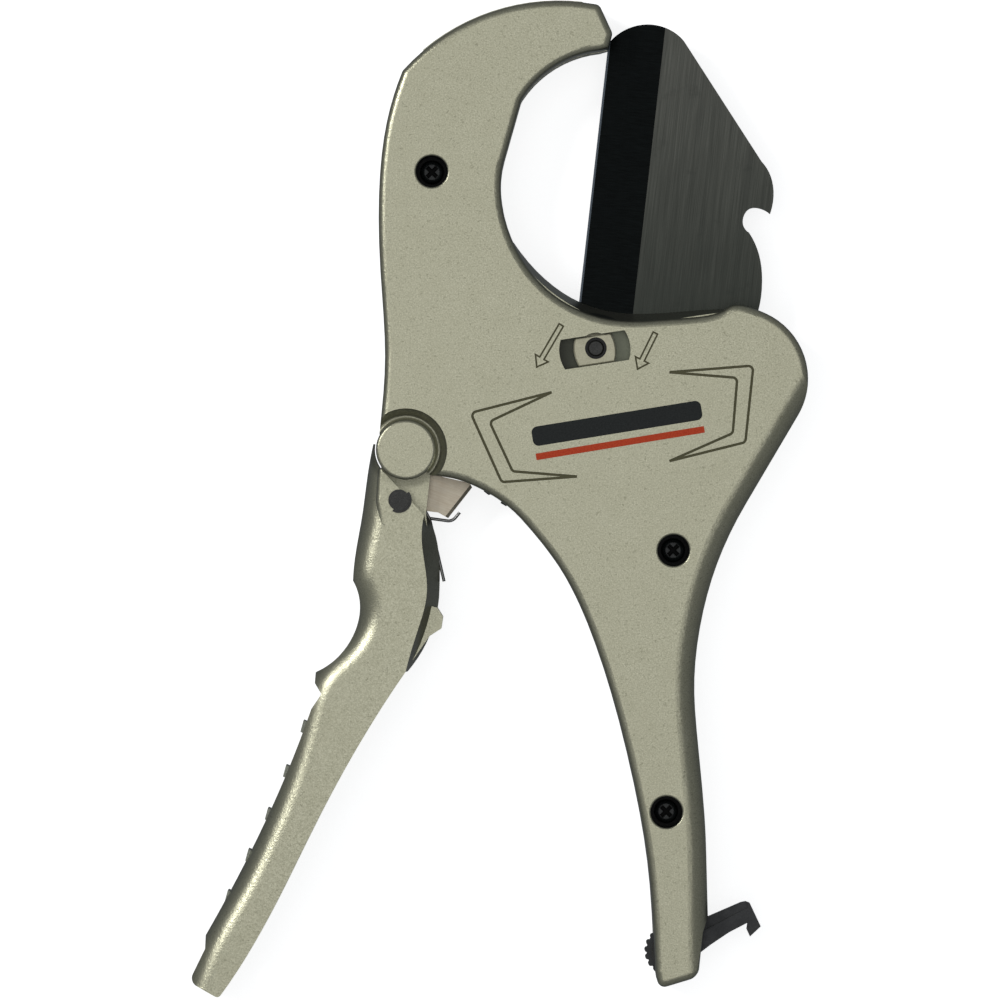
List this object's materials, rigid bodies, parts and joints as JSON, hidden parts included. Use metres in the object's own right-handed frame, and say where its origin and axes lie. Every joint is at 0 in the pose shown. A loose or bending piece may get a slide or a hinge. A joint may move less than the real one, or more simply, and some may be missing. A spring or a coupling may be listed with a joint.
{
  "type": "ratchet pvc pipe cutter",
  "caption": "Hand-held ratchet cutter for plastic pipe, with a hooked jaw, a swinging blade, a squeeze lever and a swing latch on the grip.",
  "frame": {"origin": "on the flat back face, on the axis of the blade pivot", "axes": "+Z out of the front face, +Y along the tool towards the jaw, +X from the lever side towards the latch side"},
  "size_m": [0.1763, 0.2853, 0.026],
  "materials": {
    "painted_casting": "satin champagne-olive metallic paint, finely speckled, over die-cast metal",
    "blade_steel": "black oxide, brushed, with darker ground bevels",
    "black_steel": "black coated, semi-gloss",
    "pin_steel": "dark ground steel",
    "button_metal": "pale plated, satin",
    "spring_steel": "drawn wire",
    "bright_steel": "warm bright stamped steel",
    "latch_black": "black coated, satin"
  },
  "bodies": {
    "body": {"front_body_half": "painted_casting", "rear_body_half": "painted_casting", "case_screws": "black_steel", "locating_dowels": "pin_steel", "blade_pivot_pin": "pin_steel", "blade_thrust_washers": "pin_steel", "button_spring": "spring_steel", "blade_stop_pin": "pin_steel", "holding_pawl_pin": "pin_steel", "holding_pawl_spring": "spring_steel", "lever_pivot_pin": "pin_steel", "lever_return_spring": "spring_steel", "latch_pin": "pin_steel", "latch_friction_washers": "pin_steel"},
    "blade": {"cutting_blade": "blade_steel"},
    "release_button": {"blade_release_button": "button_metal"},
    "holding_pawl_arm": {"holding_pawl": "bright_steel"},
    "lever": {"lever_handle": "painted_casting", "pawl_pin": "pin_steel", "pawl_pin_clip": "pin_steel", "drive_pawl_spring": "spring_steel"},
    "drive_pawl_plate": {"drive_pawl": "bright_steel"},
    "latch": {"storage_latch": "latch_black"}
  },
  "joints": [
    {"name": "blade_swing", "type": "hinge", "parent": "body", "child": "blade", "pos_m": [0, 0, 0.013], "axis": [0, 0, 1], "range_deg": [-52, 39]},
    {"name": "lever_squeeze", "type": "hinge", "parent": "body", "child": "lever", "pos_m": [-0.0543, -0.029, 0.013], "axis": [0, 0, 1], "range_deg": [0, 41], "stiffness_Nm_per_rad": 0.3, "springref_deg": -20.05, "deforming": ["lever_return_spring"]},
    {"name": "drive_pawl_turn", "type": "hinge", "parent": "lever", "child": "drive_pawl_plate", "pos_m": [-0.0563, -0.0434, 0.013], "axis": [0, 0, 1], "range_deg": [-70, 0], "deforming": ["drive_pawl_spring"]},
    {"name": "holding_pawl_lift", "type": "hinge", "parent": "body", "child": "holding_pawl_arm", "pos_m": [-0.0036, -0.0624, 0.013], "axis": [0, 0, 1], "range_deg": [-10, 0], "stiffness_Nm_per_rad": 0.02, "springref_deg": 17.19, "deforming": ["holding_pawl_spring"]},
    {"name": "release_button_press", "type": "slide", "parent": "body", "child": "release_button", "axis": [0, 0, -1], "range_m": [0, 0.0014], "stiffness_N_per_m": 900, "springref_m": -0.002, "deforming": ["button_spring"]},
    {"name": "latch_swing", "type": "hinge", "parent": "body", "child": "latch", "pos_m": [0.0211, -0.1728, 0.013], "axis": [0, 0, 1], "range_deg": [-188, 0]}
  ],
  "couplings": [
    {"joint": "drive_pawl_turn", "follows": "lever_squeeze", "ratio": -1.7}
  ]
}
